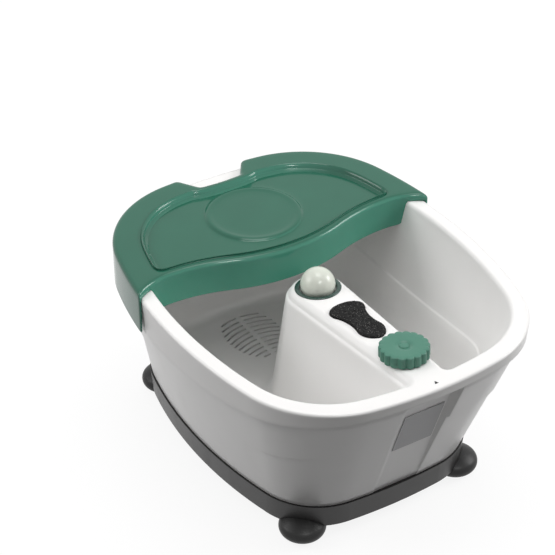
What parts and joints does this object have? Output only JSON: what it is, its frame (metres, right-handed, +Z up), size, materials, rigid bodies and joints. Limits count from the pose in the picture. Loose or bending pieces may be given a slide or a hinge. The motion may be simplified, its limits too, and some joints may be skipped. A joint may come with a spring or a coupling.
{
  "type": "foot spa basin",
  "caption": "Oval foot spa basin with a raised console, control knob, massage ball, pumice stone, lift-off splash cover and round rubber feet.",
  "frame": {"origin": "middle of the overall box in plan, on the plane that the feet stand on", "axes": "+X to the right as the user sits, -Y towards the user and the control knob, +Y towards the splash cover, +Z up"},
  "size_m": [0.3148, 0.3892, 0.1994],
  "materials": {
    "inner_white": "moulded plastic",
    "hose_clear": "clear soft hose",
    "pump_grey": "moulded plastic",
    "bezel_green": "glossy plastic",
    "steel": "plain steel",
    "base_black": "satin moulded plastic",
    "tub_white": "glossy moulded polypropylene",
    "knob_green": "satin tinted plastic",
    "switch_black": "moulded plastic",
    "weight_iron": "cast weight",
    "heater_aluminium": "rolled sheet",
    "ball_pearl": "pearly plastic",
    "body_white": "glossy moulded polypropylene",
    "pumice_black": "rough pumice stone",
    "foot_rubber": "black rubber",
    "plate_grey": "plain satin plate",
    "cover_green": "glossy tinted plastic",
    "fuse_body": "ceramic body"
  },
  "bodies": {
    "housing": {"air_chamber": "inner_white", "air_hose": "hose_clear", "air_pump": "pump_grey", "ball_bezel": "bezel_green", "ball_cup": "inner_white", "base_pan": "base_black", "basin": "tub_white", "bracket_screws": "steel", "cord_gland": "switch_black", "foot_screws": "steel", "heater_plate_left": "heater_aluminium", "heater_plate_right": "heater_aluminium", "motor_bracket": "steel", "outer_body": "body_white", "pan_screws": "steel", "pump_grommets": "foot_rubber", "rating_plate": "plate_grey", "rotary_switch": "switch_black", "rubber_foot_front_left": "foot_rubber", "rubber_foot_front_right": "foot_rubber", "rubber_foot_rear_left": "foot_rubber", "rubber_foot_rear_right": "foot_rubber", "switch_nut": "steel", "switch_seal": "foot_rubber", "terminal_block": "switch_black", "thermal_fuse": "fuse_body", "thermostat": "switch_black", "vibration_motor": "steel"},
    "cover": {"splash_cover": "cover_green"},
    "stone": {"pumice_stone": "pumice_black"},
    "ball": {"massage_ball": "ball_pearl", "ball_spindle": "steel", "spindle_clip": "steel"},
    "knob": {"control_knob": "knob_green", "switch_shaft": "steel"},
    "rotor": {"motor_shaft": "steel", "eccentric_weight": "weight_iron"}
  },
  "joints": [
    {"name": "cover_lift", "type": "slide", "parent": "housing", "child": "cover", "axis": [0, 0, 1], "range_m": [0, 0.12]},
    {"name": "stone_lift", "type": "slide", "parent": "housing", "child": "stone", "axis": [0, 0.0837, 0.9965], "range_m": [0, 0.05]},
    {"name": "ball_spin", "type": "hinge", "parent": "housing", "child": "ball", "pos_m": [0, -0.00417, 0.17839], "axis": [0, 0.0837, 0.9965], "continuous": true},
    {"name": "knob_turn", "type": "hinge", "parent": "housing", "child": "knob", "pos_m": [0, -0.1401, 0.19091], "axis": [0, 0.0837, 0.9965], "range_deg": [-270, 0]},
    {"name": "rotor_spin", "type": "hinge", "parent": "housing", "child": "rotor", "pos_m": [0, -0.05, 0.044], "axis": [0, -1, 0], "continuous": true}
  ]
}
